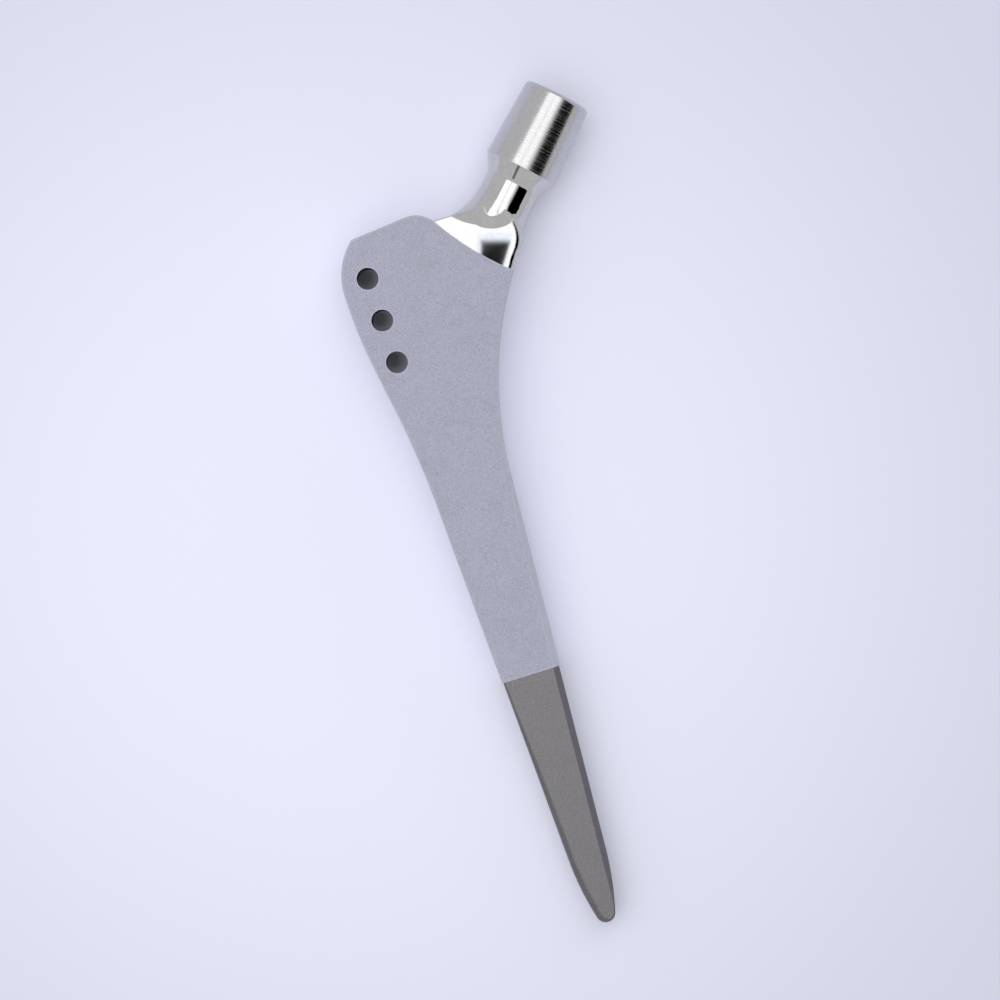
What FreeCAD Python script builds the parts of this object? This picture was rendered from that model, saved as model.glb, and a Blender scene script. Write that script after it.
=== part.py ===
import FreeCAD, Part
import math
import os

# A hip stem of the straight, double-tapered kind, in one piece of titanium alloy.
# It is drawn upright first: the blade's axis runs up Y, the neck leans towards +X, and the
# thickness lies along Z. Heights are counted from the point where the neck's axis crosses
# the blade's axis. At the end the stem is laid down on one flat side.

# Blade, seen from the front. Sizes in millimetres, angles in degrees.
tip_depth = 110.4
top_rise = 21.95
coat_end_depth = 62.5
coat_end_width = 10.7
side_taper = 2.88
nose_radius = 1.8
nose_curve_length = 13.0

# Medial side: the long curve that leads from the blade to the neck.
calcar_start_depth = 26.0
calcar_radius = 70.0
calcar_end_angle = 36.8

# Lateral side: the wing, and the sloping shoulder above it.
flare_start_depth = 28.0
flare_radius = 168.0
flare_angle = 9.65
wing_straight = 7.5
wing_side_radius = 88.0
wing_top_radius = 12.0
wing_corner_radius = 0.8
shoulder_rise = 23.6
shoulder_angle = 5.5
shoulder_length = 2.8
shoulder_round = 5.0

# Thickness, which tapers from the top to the tip on both flat sides.
top_thickness = 14.0
tip_thickness = 6.5

# Edges of the blade.
medial_chamfer = 1.15
medial_edge_round = 1.1
shoulder_edge_round = 0.3
edge_round_length = 6.0
chamfer_run_out = 9.0
chamfer_end_gap = 0.2
bare_edge_round = 0.25
tip_edge_round = 1.2
coated_edge_round = 0.35

# Bevel that leads from the flat sides down to the neck. It is part of a cone about an upright axis.
neck_bevel_distance = 34.8
neck_bevel_offset = -6.3
neck_bevel_radius = 11.5
neck_bevel_end_distance = 29.7
neck_bevel_end_offset = -2.3
neck_bevel_end_radius = 5.8
neck_bevel_angle = 31.0

# Sprayed coating, which ends square to the blade below and in a shallow arc under the neck.
coating = 0.2
mask_distance = 19.45
mask_offset = 3.0
mask_radius = 53.0

# Row of holes in the wing.
hole_count = 3
hole_radius = 2.0
hole_pitch = 8.05
hole_row_offset = 6.73
hole_row_rise = 7.39
hole_row_lean = 2.1

# Neck and head taper, turned about the neck's axis. Distances run up that axis.
neck_angle = 44.1
neck_radius = 5.2
waist = 31.5
foot_sink = 0.02
foot_start = 21.1
foot_lateral_radius = 14.5
foot_medial_radius = 18.0
foot_front_radius = 40.0
foot_medial_limit = 6.5
foot_front_limit = 6.4
foot_fullness = 5.0
foot_ridge_radius = 15.0
foot_ridge_slope = 15.5
foot_ridge_limit = 6.9
foot_fullness_start = 28.4
foot_fullness_length = 2.2
undercut_angle = 30.0
undercut_round = 2.0
taper_start = 37.1
taper_length = 15.0
taper_large_radius = 7.0
taper_half_angle = 2.833
taper_end_round = 0.9

Vector = FreeCAD.Vector
UP = Vector(0, 0, 1)
REACH = 400.0


def heading(angle):
    """Direction that leans by an angle, in degrees, from +Y towards +X."""
    turn = math.radians(angle)
    return Vector(math.sin(turn), math.cos(turn), 0)


def along_neck(distance, offset=0.0):
    """Point at a distance up the neck's axis, moved sideways towards the medial side."""
    return heading(neck_angle) * distance + heading(neck_angle + 90) * offset


class Path:
    """Outline drawn as a pen moves: straight stretches and arcs that join without a kink."""

    def __init__(self, start, angle):
        self.point = start
        self.angle = angle
        self.edges = []

    def line_to(self, point):
        self.edges.append(Part.makeLine(self.point, point))
        self.point = point

    def line(self, length):
        self.line_to(self.point + heading(self.angle) * length)

    def arc(self, radius, end_angle):
        side = 1 if end_angle > self.angle else -1
        centre = self.point + heading(self.angle + 90 * side) * radius
        middle = centre + heading((self.angle + end_angle) / 2 - 90 * side) * radius
        end = centre + heading(end_angle - 90 * side) * radius
        self.edges.append(Part.Arc(self.point, middle, end).toShape())
        self.point = end
        self.angle = end_angle


def half_width(depth):
    return coat_end_width / 2 + (coat_end_depth - depth) * math.tan(math.radians(side_taper))


def medial_path():
    """From the blade's straight medial side, up the calcar curve and round to the top edge."""
    nose_top = tip_depth - nose_curve_length
    path = Path(Vector(half_width(nose_top), -nose_top, 0), side_taper)
    path.line((nose_top - calcar_start_depth) / math.cos(math.radians(side_taper)))
    path.arc(calcar_radius, calcar_end_angle)
    corner_radius = (top_rise - path.point.y) / (1 + math.sin(math.radians(calcar_end_angle)))
    path.corner = path.point
    path.arc(corner_radius, (calcar_end_angle - 90) / 2)
    path.arc(corner_radius, -90)
    path.line(edge_round_length)
    return path


def lateral_path():
    """From the blade's straight lateral side, out over the wing, as far as its widest point."""
    nose_top = tip_depth - nose_curve_length
    path = Path(Vector(-half_width(nose_top), -nose_top, 0), -side_taper)
    path.line((nose_top - flare_start_depth) / math.cos(math.radians(side_taper)))
    path.arc(flare_radius, -flare_angle)
    path.line(wing_straight)
    path.arc(wing_side_radius, 0)
    return path


def shoulder_path():
    """Up the lateral side, round the wing, along the sloping shoulder and down to the top edge."""
    path = lateral_path()
    slope = 90 - shoulder_angle
    centre = path.point + heading(90) * wing_top_radius
    gap = (Vector(0, shoulder_rise, 0) - centre).dot(heading(slope - 90))
    path.arc(wing_top_radius, slope - math.degrees(math.acos(gap / wing_top_radius)))
    path.corner = path.point
    crest = Vector(0, shoulder_rise, 0) + heading(slope) * shoulder_length
    path.line_to(crest)
    path.angle = slope
    centre = crest + heading(slope + 90) * shoulder_round
    path.arc(shoulder_round, 180 - math.degrees(math.asin((top_rise - centre.y) / shoulder_round)))
    return path


def nose_edges():
    """Tip: a side arc on each side, tangent to the taper, and a small round nose between them."""
    side = Vector(half_width(tip_depth - nose_curve_length), nose_curve_length - tip_depth, 0)
    nose = Vector(0, nose_radius - tip_depth, 0)
    inward = heading(side_taper - 90)
    reach = side - nose
    radius = (nose_radius ** 2 - reach.dot(reach)) / (2 * (reach.dot(inward) + nose_radius))
    centre = side + inward * radius
    join = nose + (nose - centre).normalize() * nose_radius
    middle = centre + ((side + join) * 0.5 - centre).normalize() * radius
    arc = Part.Arc(side, middle, join).toShape()
    tip = Part.Arc(join, Vector(0, -tip_depth, 0), Vector(-join.x, join.y, 0)).toShape()
    return [arc, tip, arc.mirror(Vector(), Vector(1, 0, 0))]


def blade_outline():
    medial = medial_path()
    shoulder = shoulder_path()
    top = Part.makeLine(medial.point, shoulder.point)
    edges = medial.edges + [top] + shoulder.edges + nose_edges()
    return Part.Wire(Part.__sortEdges__(edges))


def half_thickness(height):
    share = (height + tip_depth) / (top_rise + tip_depth)
    return (tip_thickness + (top_thickness - tip_thickness) * share) / 2


def thickness_wedge(grow):
    """Wedge between the two flat sides. It is longer than the blade at both ends."""
    low = -tip_depth - 10
    high = top_rise + 20
    a = half_thickness(low) + grow
    b = half_thickness(high) + grow
    corners = [Vector(-60, low, -a), Vector(-60, high, -b), Vector(-60, high, b), Vector(-60, low, a)]
    return Part.Face(Part.makePolygon(corners + corners[:1])).extrude(Vector(120, 0, 0))


def blade(grow):
    """The tapered blade with sharp edges, grown on every side by the coating's depth."""
    outline = blade_outline()
    if grow:
        outline = outline.makeOffset2D(grow, 2)
    prism = Part.Face(outline).extrude(UP * REACH)
    prism.translate(UP * -REACH / 2)
    corner = shoulder_path().corner
    upright = [edge for edge in prism.Edges if edge.Length > REACH - 1]
    nearest = min(upright, key=lambda edge: (edge.CenterOfMass - corner).Length)
    prism = prism.makeFillet(wing_corner_radius, [nearest])
    return prism.common(thickness_wedge(grow)).Solids[0]


def half_space(point, direction):
    """Large block on the side of a plane that the direction points to."""
    block = Part.makeBox(REACH, REACH, REACH, Vector(-REACH / 2, -REACH / 2, 0))
    block.Placement = FreeCAD.Placement(point, FreeCAD.Rotation(UP, direction))
    return block


def mask(extra):
    """Upright cylinder whose edge draws the arc where the coating ends under the neck."""
    centre = along_neck(mask_distance + mask_radius, mask_offset)
    return Part.makeCylinder(mask_radius + extra, REACH, centre - UP * REACH / 2, UP)


def round_rim(body, is_cut, edge_round):
    """Round edges of the flat sides but those of a cut. A rule gives the radius at a point."""
    document = FreeCAD.newDocument()
    rounded = document.addObject("Part::Fillet")
    rounded.Base = document.addObject("Part::Feature")
    rounded.Base.Shape = body
    radii = []
    for number, edge in enumerate(body.Edges, 1):
        first = edge.firstVertex(True).Point
        last = edge.lastVertex(True).Point
        middle = edge.valueAt((edge.FirstParameter + edge.LastParameter) / 2)
        if abs(middle.z) > 1 and not is_cut(middle):
            radii.append((number, edge_round(first), edge_round(last)))
    rounded.Edges = radii
    document.recompute()
    return rounded.Shape.Solids[0]


def neck_bevels():
    """Cones that take off the flat sides' edge beside the neck."""
    wide = (along_neck(neck_bevel_distance, neck_bevel_offset), neck_bevel_radius)
    end = (along_neck(neck_bevel_end_distance, neck_bevel_end_offset), neck_bevel_end_radius)
    cones = []
    for centre, radius in (wide, end):
        drop = radius * math.tan(math.radians(neck_bevel_angle))
        for side in (1, -1):
            apex = centre + UP * side * (half_thickness(centre.y - radius) - drop)
            cones.append(Part.makeCone(0, 2 * radius, 2 * drop, apex, UP * side))
    return cones


def polished_end():
    """Bare end under the neck, with round edges and a bevel on each flat side beside the neck."""
    shoulder_end = shoulder_path().point.x + coating / 2
    medial = medial_path()
    centre = along_neck(mask_distance + mask_radius, mask_offset)
    body = blade(0).common(mask(coating * 20))
    body = body.common(half_space(Vector(shoulder_end, 0, 0), Vector(1, 0, 0))).Solids[0]

    def is_cut(point):
        across = math.hypot(point.x - centre.x, point.y - centre.y)
        return point.x < shoulder_end + 0.01 or across > mask_radius + coating * 20 - 0.01

    def edge_round(point):
        return shoulder_edge_round if point.x < medial.point.x + 1 else medial_edge_round

    return round_rim(body, is_cut, edge_round).cut(neck_bevels())


def flare(distance, radius, limit=REACH):
    """How far the neck stands out from its axis, on one side of its flared foot."""
    drop = min(waist - distance, radius)
    return min(neck_radius - foot_sink + radius - math.sqrt(radius ** 2 - drop ** 2), limit)


def ridge(distance):
    """Height of the ridge that runs from the neck's front into the flat side of the blade."""
    slope = math.radians(foot_ridge_slope)
    bend = min(waist - distance, foot_ridge_radius * math.sin(slope))
    climb = (waist - distance - bend) * math.tan(slope)
    rise = foot_ridge_radius - math.sqrt(foot_ridge_radius ** 2 - bend ** 2) + climb
    return min(neck_radius - foot_sink + rise, foot_ridge_limit)


def foot_section(distance):
    """Closed curve round the foot of the neck, square to the neck's axis."""
    lateral = flare(distance, foot_lateral_radius)
    medial = flare(distance, foot_medial_radius, foot_medial_limit)
    front = flare(distance, foot_front_radius, foot_front_limit)
    share = max(0, min((foot_fullness_start - distance) / foot_fullness_length, 1))
    fullness = 2 + (foot_fullness - 2) * share
    points = []
    for step in range(32):
        turn = math.radians(step * 11.25)
        across = math.cos(turn)
        height = math.sin(turn)
        if across > 0.01:
            bulge = (abs(across) ** fullness + abs(height) ** fullness) ** (1 / fullness)
            crest = front + (ridge(distance) - front) * share * min(across * 2.5, 1)
            points.append(along_neck(distance, medial * across / bulge) + UP * crest * height / bulge)
        else:
            points.append(along_neck(distance, lateral * across) + UP * front * height)
    curve = Part.BSplineCurve()
    curve.interpolate(points, PeriodicFlag=True)
    return Part.Wire([curve.toShape()])


def neck_foot():
    """Foot of the neck, which spreads over the blade's top edge."""
    steps = 12
    pitch = (waist - foot_start) / steps
    return Part.makeLoft([foot_section(foot_start + pitch * step) for step in range(steps + 1)], True)


def turned_neck():
    """Neck, undercut and head taper, turned as one profile about the neck's axis."""
    slope = math.radians(undercut_angle)
    cone_start = taper_start - (taper_large_radius - neck_radius) / math.tan(slope)
    trim = undercut_round * math.tan(slope / 2)
    taper_end = taper_start + taper_length
    small_radius = taper_large_radius - taper_length * math.tan(math.radians(taper_half_angle))
    path = Path(along_neck(foot_start), neck_angle + 90)
    path.line(neck_radius)
    path.angle = neck_angle
    path.line(cone_start - trim - foot_start)
    path.arc(undercut_round, neck_angle + undercut_angle)
    path.line_to(along_neck(taper_start, taper_large_radius))
    path.line_to(along_neck(taper_end, small_radius))
    path.line_to(along_neck(taper_end))
    path.line_to(along_neck(foot_start))
    body = Part.Face(Part.Wire(path.edges)).revolve(Vector(), heading(neck_angle), 360)
    rim = [edge for edge in body.Edges if (edge.CenterOfMass - along_neck(taper_end)).Length < 0.01]
    return body.makeFillet(taper_end_round, [edge for edge in rim if edge.Length > small_radius])


def coated_zone():
    """Upper part of the blade with its sprayed coating, which softens the edges."""
    zone = blade(coating).common(half_space(Vector(0, -coat_end_depth, 0), Vector(0, 1, 0)))
    zone = zone.cut(mask(0)).Solids[0]
    rim = []
    for edge in zone.Edges:
        first = edge.firstVertex().Point
        last = edge.lastVertex().Point
        if first.z * last.z > 1 and not on_zone_end(edge.CenterOfMass):
            rim.append(edge)
    return zone.makeFillet(coated_edge_round, rim)


def on_zone_end(point):
    """Whether a point lies on the square or the curved end of the coating."""
    centre = along_neck(mask_distance + mask_radius, mask_offset)
    across = math.hypot(point.x - centre.x, point.y - centre.y)
    return point.y < 0.01 - coat_end_depth or across < mask_radius + 0.01


def chamfer_section(depth, grow, side, size):
    """Triangle that takes off the medial edge of one flat side at a depth down the blade."""
    x = half_width(depth) + grow
    z = half_thickness(-depth) + grow
    reach = medial_chamfer
    steps = [(size + reach, -reach), (-reach, size + reach), (-reach, -reach)]
    corners = [Vector(x - inward, -depth, side * (z - down)) for inward, down in steps]
    return Part.makePolygon(corners + corners[:1])


def chamfer_tools(grow):
    """Bars along the straight medial edges, which run out where the calcar curve begins."""
    tools = []
    for side in (1, -1):
        low = chamfer_section(tip_depth + 2, grow, side, medial_chamfer)
        high = chamfer_section(calcar_start_depth + chamfer_run_out, grow, side, medial_chamfer)
        end = chamfer_section(calcar_start_depth - 2, grow, side, -chamfer_end_gap)
        tools.append(Part.makeLoft([low, high], True, True))
        tools.append(Part.makeLoft([high, end], True, True))
    return tools


def bare_shaft():
    """Lower part of the blade, down to the tip. Its upper end is hidden in the coated zone."""
    top = coat_end_depth - 8
    body = blade(0).common(half_space(Vector(0, -top, 0), Vector(0, -1, 0))).Solids[0]

    def is_cut(point):
        return point.y > -top - 0.01

    def edge_round(point):
        return bare_edge_round if point.y > nose_curve_length - tip_depth - 0.1 else tip_edge_round

    return round_rim(body, is_cut, edge_round).cut(chamfer_tools(0))


def hole_centre(number):
    """Centre of a hole in the wing, counted from the neck end of the row."""
    down = heading(-hole_row_lean) * (hole_count // 2 - number) * hole_pitch
    return Vector(-hole_row_offset, hole_row_rise, 0) + down


def holes():
    drills = []
    for number in range(hole_count):
        centre = hole_centre(number) - UP * REACH / 2
        drills.append(Part.makeCylinder(hole_radius, REACH, centre, UP))
    return drills


def stem():
    """The whole stem in one piece, upright."""
    coated = coated_zone().cut(chamfer_tools(coating))
    body = polished_end().fuse([neck_foot(), turned_neck(), coated, bare_shaft()])
    return body.cut(holes()).removeSplitter().Solids[0]


def lay_down(body):
    """Lie the stem on its lower flat side, with the large end of the head taper at the origin."""
    slope = math.atan((half_thickness(0) - half_thickness(-tip_depth)) / tip_depth)
    laid = body.translated(along_neck(taper_start) * -1)
    return laid.rotated(Vector(), Vector(1, 0, 0), math.degrees(slope))


os.makedirs("parts", exist_ok=True)
laid_stem = lay_down(stem())
laid_stem.exportStep("parts/stem.step")
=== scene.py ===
import math

import bpy
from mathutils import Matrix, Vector


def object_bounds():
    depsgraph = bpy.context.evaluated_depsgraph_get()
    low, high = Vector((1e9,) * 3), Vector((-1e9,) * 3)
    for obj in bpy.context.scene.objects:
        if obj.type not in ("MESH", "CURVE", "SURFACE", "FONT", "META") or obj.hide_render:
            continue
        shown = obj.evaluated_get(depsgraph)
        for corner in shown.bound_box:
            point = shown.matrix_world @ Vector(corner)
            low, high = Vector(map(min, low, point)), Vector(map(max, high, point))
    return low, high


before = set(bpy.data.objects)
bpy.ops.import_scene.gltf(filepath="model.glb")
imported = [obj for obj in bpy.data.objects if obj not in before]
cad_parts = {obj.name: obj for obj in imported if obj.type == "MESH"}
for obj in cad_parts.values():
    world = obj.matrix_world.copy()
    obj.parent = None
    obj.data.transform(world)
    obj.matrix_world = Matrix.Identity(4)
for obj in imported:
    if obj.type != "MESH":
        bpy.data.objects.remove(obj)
cad_box = [list(corner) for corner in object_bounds()]


# The stem: one forged and machined piece of titanium alloy, which lies on a flat side.
# It keeps its solid. Each finish covers the part of its skin that the maker's masks left open,
# so every face of the skin gets the finish of the place where it is.
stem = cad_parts["stem"]
lean = math.radians(1.6233)
blade_axis = Vector((0, math.cos(lean), math.sin(lean)))
coat_end = -0.08915
neck_axis = Vector((0.695913, 0.717838, 0.020339))
toward_medial = Vector((0.718126, -0.695634, -0.019710))
taper_start = -0.00002
foot_top = -0.010
arc_rise = 0.03535
arc_offset = 0.003
arc_centre = neck_axis * arc_rise + toward_medial * arc_offset
arc_axis = neck_axis.cross(toward_medial)
arc_radius = 0.05295
flat_normals = [Vector((0, -math.sin(2 * lean), math.cos(2 * lean))), Vector((0, 0, -1))]
flat_distance = 0.0071301
flat_tolerance = 0.000002
flat_facing = 0.999
hole_axis = Vector((0, -0.028324, 0.999599))
hole_reach = 0.00206
hole_count = 3
first_hole = Vector((-0.032843, -0.011203, -0.000317))
hole_step = Vector((0.000295, -0.008042, -0.000228))
hole_centres = [first_hole + hole_step * count for count in range(hole_count)]


def finish_at(point, normal):
    """Which finish the stem's skin has at a point, where it faces along a normal."""
    if any((point - centre).cross(hole_axis).length < hole_reach for centre in hole_centres):
        return "bore"
    along = point.dot(neck_axis)
    if along > taper_start:
        return "taper"
    if (point - arc_centre).cross(arc_axis).length < arc_radius:
        for side in flat_normals:
            above = point.dot(side) - flat_distance
            lies_in_it = above > -flat_tolerance and normal.dot(side) > flat_facing
            if along < foot_top and (above > flat_tolerance or lies_in_it):
                return "flat"
        return "polish"
    return "blasted" if point.dot(blade_axis) < coat_end else "coating"


finishes = ["coating", "polish", "flat", "taper", "blasted", "bore"]
materials = {}
stem.data.materials.clear()
for finish in finishes:
    materials[finish] = bpy.data.materials.new("stem_" + finish)
    materials[finish].use_nodes = True
    stem.data.materials.append(materials[finish])
for face in stem.data.polygons:
    face.material_index = finishes.index(finish_at(face.center, face.normal))


def number_step(tree, operation, *values):
    """One number operation in a node tree, on values that are sockets or fixed numbers."""
    node = tree.nodes.new("ShaderNodeMath")
    node.operation = operation
    for socket, value in zip(node.inputs, values):
        if isinstance(value, (int, float)):
            socket.default_value = value
        else:
            tree.links.new(value, socket)
    return node.outputs[0]


def vector_step(tree, operation, *values):
    """One vector operation in a node tree, on values that are sockets or fixed vectors."""
    node = tree.nodes.new("ShaderNodeVectorMath")
    node.operation = operation
    for socket, value in zip(node.inputs, values):
        if isinstance(value, Vector):
            socket.default_value = value
        else:
            tree.links.new(value, socket)
    gives_number = operation in ("DOT_PRODUCT", "LENGTH", "DISTANCE")
    return node.outputs["Value" if gives_number else "Vector"]


# The two polished flats beside the foot of the neck are ground dead flat. The solid's foot stands
# up to 0.2 mm out of them in one spot, which a modifier on the stem presses back into their plane.
tree = bpy.data.node_groups.new("ground_flats", "GeometryNodeTree")
tree.interface.new_socket("Geometry", in_out="INPUT", socket_type="NodeSocketGeometry")
tree.interface.new_socket("Geometry", in_out="OUTPUT", socket_type="NodeSocketGeometry")
group_in = tree.nodes.new("NodeGroupInput")
group_out = tree.nodes.new("NodeGroupOutput")
place = tree.nodes.new("GeometryNodeInputPosition").outputs["Position"]
arc_margin = 0.0002
from_arc = vector_step(tree, "CROSS_PRODUCT", vector_step(tree, "SUBTRACT", place, arc_centre), arc_axis)
in_arc = number_step(tree, "LESS_THAN", vector_step(tree, "LENGTH", from_arc), arc_radius - arc_margin)
in_foot = number_step(tree, "LESS_THAN", vector_step(tree, "DOT_PRODUCT", place, neck_axis), foot_top)
in_reach = number_step(tree, "MULTIPLY", in_arc, in_foot)
geometry = group_in.outputs[0]
for side in flat_normals:
    above = number_step(tree, "SUBTRACT", vector_step(tree, "DOT_PRODUCT", place, side), flat_distance)
    press = number_step(tree, "MULTIPLY", number_step(tree, "MAXIMUM", above, 0.0), in_reach)
    move = tree.nodes.new("GeometryNodeSetPosition")
    tree.links.new(geometry, move.inputs["Geometry"])
    tree.links.new(vector_step(tree, "MULTIPLY", -side, press), move.inputs["Offset"])
    geometry = move.outputs["Geometry"]
tree.links.new(geometry, group_out.inputs[0])
stem.modifiers.new("ground_flats", "NODES").node_group = tree

# Grain of a worked metal skin, which all the finishes share: fine grains that stand up from the
# skin, and slow cloudy changes in how bright it is. Its noise lies in noise_span for the most part.
noise_detail = 3.0
noise_roughness = 0.7
noise_distortion = 1.5
noise_span = (0.35, 0.65)
grain = bpy.data.node_groups.new("metal_grain", "ShaderNodeTree")
grain_outputs = {"Grain Size": "Height", "Cloud Size": "Cloud"}
for size_name, output_name in grain_outputs.items():
    grain.interface.new_socket(size_name, in_out="INPUT", socket_type="NodeSocketFloat")
    grain.interface.new_socket(output_name, in_out="OUTPUT", socket_type="NodeSocketFloat")
group_in = grain.nodes.new("NodeGroupInput")
group_out = grain.nodes.new("NodeGroupOutput")
place = grain.nodes.new("ShaderNodeTexCoord").outputs["Object"]
for size_name, output_name in grain_outputs.items():
    noise = grain.nodes.new("ShaderNodeTexNoise")
    noise.inputs["Detail"].default_value = noise_detail
    noise.inputs["Roughness"].default_value = noise_roughness
    noise.inputs["Distortion"].default_value = noise_distortion
    grain.links.new(place, noise.inputs["Vector"])
    grain.links.new(number_step(grain, "DIVIDE", 1.0, group_in.outputs[size_name]), noise.inputs["Scale"])
    grain.links.new(noise.outputs["Fac"], group_out.inputs[output_name])


def range_step(tree, value, start, end, low=0.0, high=1.0):
    """Runs from a low to a high number while a value runs from start to end."""
    node = tree.nodes.new("ShaderNodeMapRange")
    for name, number in (("From Min", start), ("From Max", end), ("To Min", low), ("To Max", high)):
        node.inputs[name].default_value = number
    tree.links.new(value, node.inputs["Value"])
    return node.outputs["Result"]


def colour_step(tree, value, start, end, first, last):
    """Runs from a first to a last colour while a value runs from start to end."""
    node = tree.nodes.new("ShaderNodeValToRGB")
    for element, position, colour in zip(node.color_ramp.elements, (start, end), (first, last)):
        element.position = position
        element.color = (*colour, 1)
    tree.links.new(value, node.inputs["Fac"])
    return node.outputs["Color"]


def rounded_normal(tree, radius):
    """Which way the skin faces once its edges are rounded off to a radius."""
    node = tree.nodes.new("ShaderNodeBevel")
    node.samples = 6
    node.inputs["Radius"].default_value = radius
    return node.outputs["Normal"]


def metal(finish, dark, light, roughness, grain_size, cloud_size, bump_height, metallic=1.0):
    """Metal whose brightness varies between two colours, with a grain that stands up."""
    tree = materials[finish].node_tree
    shader = tree.nodes["Principled BSDF"]
    shader.inputs["Metallic"].default_value = metallic
    skin = tree.nodes.new("ShaderNodeGroup")
    skin.node_tree = grain
    skin.inputs["Grain Size"].default_value = grain_size
    skin.inputs["Cloud Size"].default_value = cloud_size
    cloud_share = 0.15
    clouds = number_step(tree, "MULTIPLY", skin.outputs["Cloud"], cloud_share)
    mottle = number_step(tree, "MULTIPLY_ADD", skin.outputs["Height"], 1 - cloud_share, clouds)
    colour = colour_step(tree, mottle, start=0.38, end=0.62, first=dark, last=light)
    tree.links.new(colour, shader.inputs["Base Color"])
    gloss = range_step(tree, skin.outputs["Cloud"], *noise_span, *roughness)
    tree.links.new(gloss, shader.inputs["Roughness"])
    bump = tree.nodes.new("ShaderNodeBump")
    bump.inputs["Distance"].default_value = bump_height
    tree.links.new(skin.outputs["Height"], bump.inputs["Height"])
    tree.links.new(bump.outputs["Normal"], shader.inputs["Normal"])
    return tree


# Sprayed coating: coarse titanium grains melted on to the blade, pale and quite matt.
# Its edges are rubbed a little brighter, and painted light makes the side that faces away from the wing
# brighter too.
tree = metal(
    "coating", dark=(0.337, 0.337, 0.394), light=(0.575, 0.588, 0.745), roughness=(0.7, 0.85),
    grain_size=0.00019, cloud_size=0.006, bump_height=0.00006, metallic=0.2,
)
shader = tree.nodes["Principled BSDF"]
edge_width = 0.0004
edge_wear = 0.3
painted_side_light = 0.35
skin_normal = tree.nodes.new("ShaderNodeNewGeometry").outputs["True Normal"]
edge_turn = vector_step(tree, "DOT_PRODUCT", rounded_normal(tree, edge_width), skin_normal)
# Painted light: faces that turn towards the medial side, away from the wing, are painted brighter than the
# lamps leave them.
side_turn = vector_step(tree, "DOT_PRODUCT", skin_normal, Vector((1, 0, 0)))
on_edge = range_step(tree, edge_turn, start=1.0, end=0.96, high=edge_wear)
on_painted_lit_side = range_step(tree, side_turn, start=0.25, end=0.65, high=painted_side_light)
# The rubbed edges and the painted light share one paler colour.
wear_and_light_colour = (0.8, 0.82, 0.93, 1)
wear_and_light = tree.nodes.new("ShaderNodeMix")
wear_and_light.data_type = "RGBA"
wear_and_light.inputs["B"].default_value = wear_and_light_colour
tree.links.new(number_step(tree, "MAXIMUM", on_edge, on_painted_lit_side), wear_and_light.inputs["Factor"])
tree.links.new(shader.inputs["Base Color"].links[0].from_socket, wear_and_light.inputs["A"])
tree.links.new(wear_and_light.outputs["Result"], shader.inputs["Base Color"])

# Lower shaft: bare titanium blasted with glass beads, darker and with a soft sheen.
metal(
    "blasted", dark=(0.159, 0.153, 0.160), light=(0.242, 0.234, 0.244), roughness=(0.34, 0.40),
    grain_size=0.00022, cloud_size=0.006, bump_height=0.000015,
)

# Neck and its foot: polished on a wheel until they mirror the room. The wheel rounds off the edges
# of the foot a little, and the two flats beside it are truer and smoother than the rest.
mirror = {"dark": (0.62, 0.61, 0.61), "light": (0.67, 0.66, 0.66), "grain_size": 0.002, "cloud_size": 0.006}
wheel_rounding = 0.00025
tree = metal("polish", roughness=(0.03, 0.04), bump_height=0.0000005, **mirror)
tree.links.new(rounded_normal(tree, wheel_rounding), tree.nodes["Bump"].inputs["Normal"])
tree = metal("flat", roughness=(0.014, 0.02), bump_height=0.00000005, **mirror)
true_normal = tree.nodes.new("ShaderNodeNewGeometry").outputs["True Normal"]
tree.links.new(true_normal, tree.nodes["Bump"].inputs["Normal"])

# Head taper: turned and ground, with a satin skin that mirrors in a blur. The tool's marks run
# round it, and it is smoother on some of them than on others.
tree = metal(
    "taper", dark=(0.53, 0.525, 0.535), light=(0.69, 0.685, 0.695), roughness=(0.13, 0.28),
    grain_size=0.00012, cloud_size=0.003, bump_height=0.0000015,
)
mark_width = 0.0003
place = tree.nodes.new("ShaderNodeTexCoord").outputs["Object"]
turning = tree.nodes.new("ShaderNodeTexNoise")
turning.noise_dimensions = "1D"
turning.inputs["Scale"].default_value = 1 / mark_width
turning.inputs["Detail"].default_value = 2.0
tree.links.new(vector_step(tree, "DOT_PRODUCT", place, neck_axis), turning.inputs["W"])
gloss = tree.nodes["Principled BSDF"].inputs["Roughness"].links[0].from_node
tree.links.new(turning.outputs["Fac"], gloss.inputs["Value"])

# Hole walls: drilled and left bare, so they are dull; their dark colour is painted shade of the deep,
# narrow holes.
metal(
    "bore", dark=(0.05, 0.048, 0.048), light=(0.1, 0.096, 0.096), roughness=(0.35, 0.5),
    grain_size=0.0003, cloud_size=0.003, bump_height=0.00001,
)


# Floor: a wide sheet of pale card that the stem lies on. A painted pool of light makes it lightest a little
# to the left of the picture's middle, and painted shade darkens it where it shows through the holes.
floor_level = cad_box[0][2]
view_turn = math.radians(-17.28)
view_right = Vector((math.cos(view_turn), math.sin(view_turn), 0))
view_up = Vector((-math.sin(view_turn), math.cos(view_turn), 0))
view_middle = Vector((-0.02178, -0.05703, 0.006))


def card_corners(middle, across, along):
    """Corners of an oblong card, which reaches across and along to both sides of its middle."""
    lower = [middle - across - along, middle + across - along]
    upper = [middle + across + along, middle - across + along]
    return lower + upper


def flat_card(name, corners, material):
    """Card with one flat face between four corners."""
    mesh = bpy.data.meshes.new(name)
    mesh.from_pydata(corners, [], [(0, 1, 2, 3)])
    mesh.materials.append(material)
    card = bpy.data.objects.new(name, mesh)
    bpy.context.scene.collection.objects.link(card)
    return card


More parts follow.
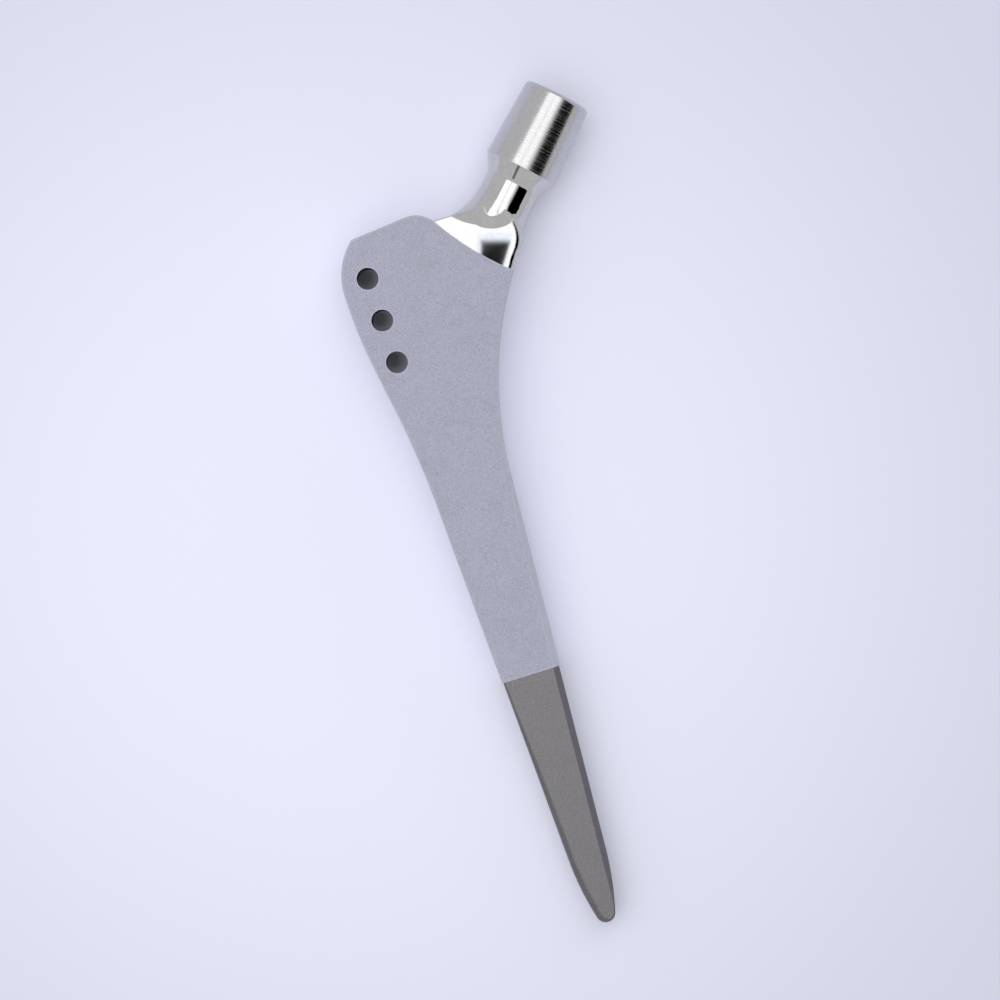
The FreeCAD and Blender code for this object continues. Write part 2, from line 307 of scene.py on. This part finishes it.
pale_card = bpy.data.materials.new("pale_card")
pale_card.use_nodes = True
tree = pale_card.node_tree
shader = tree.nodes["Principled BSDF"]
shader.inputs["Roughness"].default_value = 0.9
place = tree.nodes.new("ShaderNodeTexCoord").outputs["Object"]
# Painted light: the card's colour is brightest round a point left of the picture's middle and darkens
# outwards.
light_pool_shift = 0.024
light_pool_middle = Vector((view_middle.x - light_pool_shift, view_middle.y, floor_level))
from_middle = vector_step(tree, "DISTANCE", place, light_pool_middle)
painted_light_falloff = colour_step(
    tree, from_middle, start=0.03, end=0.16, first=(0.70, 0.715, 0.835), last=(0.56, 0.573, 0.68),
)
painted_light_falloff.node.color_ramp.interpolation = "EASE"
tree.links.new(painted_light_falloff, shader.inputs["Base Color"])
tree.links.new(painted_light_falloff, shader.inputs["Emission Color"])
seen_lift = 0.19
mirrored_share = 0.5
ray = tree.nodes.new("ShaderNodeLightPath").outputs
seen = number_step(tree, "MULTIPLY_ADD", ray["Is Glossy Ray"], mirrored_share, ray["Is Camera Ray"])
lift = number_step(tree, "MULTIPLY", seen, seen_lift)
# Painted shade: near each hole the lift fades out round a point a little up and left of the hole, so the
# floor seen through it is darker on that side.
shade_shift = view_up * 0.0007 - view_right * 0.001
shade_inner = 0.001
shade_outer = 0.004
for centre in hole_centres:
    shade_middle = centre + shade_shift
    shade_middle.z = floor_level
    from_hole = vector_step(tree, "DISTANCE", place, shade_middle)
    lift = number_step(tree, "MULTIPLY", lift, range_step(tree, from_hole, shade_inner, shade_outer))
tree.links.new(lift, shader.inputs["Emission Strength"])
floor_reach = 3.0
floor_middle = Vector((0, 0, floor_level))
floor_sides = (Vector((floor_reach, 0, 0)), Vector((0, floor_reach, 0)))
floor = flat_card("floor", card_corners(floor_middle, *floor_sides), pale_card)


# Light: an even grey room. A wide white panel hangs over the neck, along its axis, and fades out
# towards the medial side, where a dark card hangs. Two of the panel's sheets meet in a dim seam.
room_grey = (0.635, 0.635, 0.64, 1)
room = bpy.data.worlds.new("room")
room.use_nodes = True
room.node_tree.nodes["Background"].inputs["Color"].default_value = room_grey
bpy.context.scene.world = room


def hung_card(name, corners, strength):
    """Black card with light of its own, which shows in mirrors but not to the camera."""
    glow = bpy.data.materials.new(name)
    glow.use_nodes = True
    shader = glow.node_tree.nodes["Principled BSDF"]
    shader.inputs["Base Color"].default_value = (0, 0, 0, 1)
    shader.inputs["Specular IOR Level"].default_value = 0
    shader.inputs["Emission Color"].default_value = (1, 1, 1, 1)
    shader.inputs["Emission Strength"].default_value = strength
    card = flat_card(name, corners, glow)
    card.visible_camera = False
    card.visible_shadow = False
    return card


def stage_card(name, middle, across, along, strength):
    """Oblong card or lit panel that hangs over the stem."""
    panel = hung_card(name, card_corners(middle, across, along), strength)
    return panel


medial_flat = Vector((toward_medial.x, toward_medial.y, 0)).normalized()
neck_flat = Vector((neck_axis.x, neck_axis.y, 0)).normalized()


def card_between(name, angles, height, shift, half_length, strength):
    """Card that lies between two angles towards the medial side, as the taper's foot sees them."""
    inner, outer = (medial_flat * math.tan(math.radians(angle)) * height for angle in angles)
    middle = (inner + outer) / 2 + neck_flat * shift + Vector((0, 0, height))
    return stage_card(name, middle, (outer - inner) / 2, neck_flat * half_length, strength)


panel_height = 1.1
panel_white = 1.6
white_panel = card_between(
    "white_panel", angles=(-30, 50), height=panel_height, shift=0.4, half_length=0.9, strength=panel_white,
)
tree = white_panel.active_material.node_tree
fade_start = math.radians(12)
fade_end = math.radians(30)
seam_place = math.radians(-6)
seam_width = math.radians(1.6)
seam_depth = 0.75
place = tree.nodes.new("ShaderNodeTexCoord").outputs["Object"]
sideways = vector_step(tree, "DOT_PRODUCT", place, medial_flat)
angle = number_step(tree, "ARCTANGENT", number_step(tree, "DIVIDE", sideways, panel_height))
full = range_step(tree, angle, fade_end, fade_start, high=panel_white)
off_seam = number_step(tree, "DIVIDE", number_step(tree, "SUBTRACT", angle, seam_place), seam_width)
off_seam_squared = number_step(tree, "MULTIPLY", off_seam, off_seam)
seam = number_step(tree, "EXPONENT", number_step(tree, "MULTIPLY", off_seam_squared, -1.0))
strength = number_step(tree, "MULTIPLY_ADD", seam, -seam_depth, full)
tree.links.new(strength, tree.nodes["Principled BSDF"].inputs["Emission Strength"])
card_between("dark_card", angles=(49, 70), height=1.12, shift=0.3, half_length=1.0, strength=0)

# Stand of the lamp, a thin dark post that the undercut below the taper mirrors.
post_slope = math.radians(29)
post_aside = 0.11
post_distance = 0.8
post_half_width = 0.05
post_half_height = 0.16
post_glow = 0.2
post_way = -neck_flat * math.cos(post_slope) - medial_flat * post_aside
post_way.z = math.sin(post_slope)
post_across = medial_flat * post_half_width
post_along = Vector((0, 0, post_half_height))
stage_card("lamp_post", post_way * post_distance, post_across, post_along, post_glow)

# Camera's own dark body, one corner of which the flat under the neck mirrors. The body is black
# there, and towards two of its sides it turns smoothly into the white of the panel above it.
camera_height = 0.8
camera_place = view_middle + Vector((0, 0, camera_height))
body_corners = [(0.0195, 0.0098), (0.0325, 0.0098), (0.0276, -0.006), (0.0180, -0.006)]
body_rise = Vector((0, 0, 0.02))
body_glow = 0.016
dark_camera = hung_card(
    "dark_camera", [camera_place + view_right * x + view_up * y + body_rise for x, y in body_corners], 0,
)
tree = dark_camera.active_material.node_tree
shader = tree.nodes["Principled BSDF"]
shader.inputs["Emission Color"].default_value = (0.85, 0.92, 1, 1)
place = tree.nodes.new("ShaderNodeTexCoord").outputs["Object"]
from_camera = vector_step(tree, "SUBTRACT", place, camera_place)
sides = []
body_fades = ((view_up, 0.0054, 0.0082), (-view_right, -0.0214, -0.0200))
for direction, start, end in body_fades:
    reach = vector_step(tree, "DOT_PRODUCT", from_camera, direction)
    sides.append(range_step(tree, reach, start, end, body_glow, panel_white))
    sides[-1].node.interpolation_type = "SMOOTHSTEP"
tree.links.new(number_step(tree, "MAXIMUM", *sides), shader.inputs["Emission Strength"])

# Soft box on the left, which only gives matt surfaces their light.
soft_light = bpy.data.lights.new("soft_box", "AREA")
soft_light.shape = "SQUARE"
soft_light.size = 1.6
soft_light.energy = 6.2
soft_box = bpy.data.objects.new("soft_box", soft_light)
soft_box.location = Vector((-0.35, -0.05, 1.3))
soft_box.rotation_euler = (view_middle - soft_box.location).to_track_quat("-Z", "Y").to_euler()
soft_box.visible_glossy = False
soft_box.visible_camera = False
bpy.context.scene.collection.objects.link(soft_box)


# Camera: straight above the middle of the picture, turned so that the neck is at the top.
picture_pixels = 1000
pixels_per_metre = 5486
picture_width = picture_pixels / pixels_per_metre
camera_data = bpy.data.cameras.new("camera")
camera_data.sensor_width = 36
camera_data.lens = camera_data.sensor_width * camera_height / picture_width
camera = bpy.data.objects.new("camera", camera_data)
camera.location = camera_place
camera.rotation_euler = (0, 0, view_turn)
bpy.context.scene.collection.objects.link(camera)
bpy.context.scene.camera = camera
bpy.context.scene.view_settings.view_transform = "Standard"
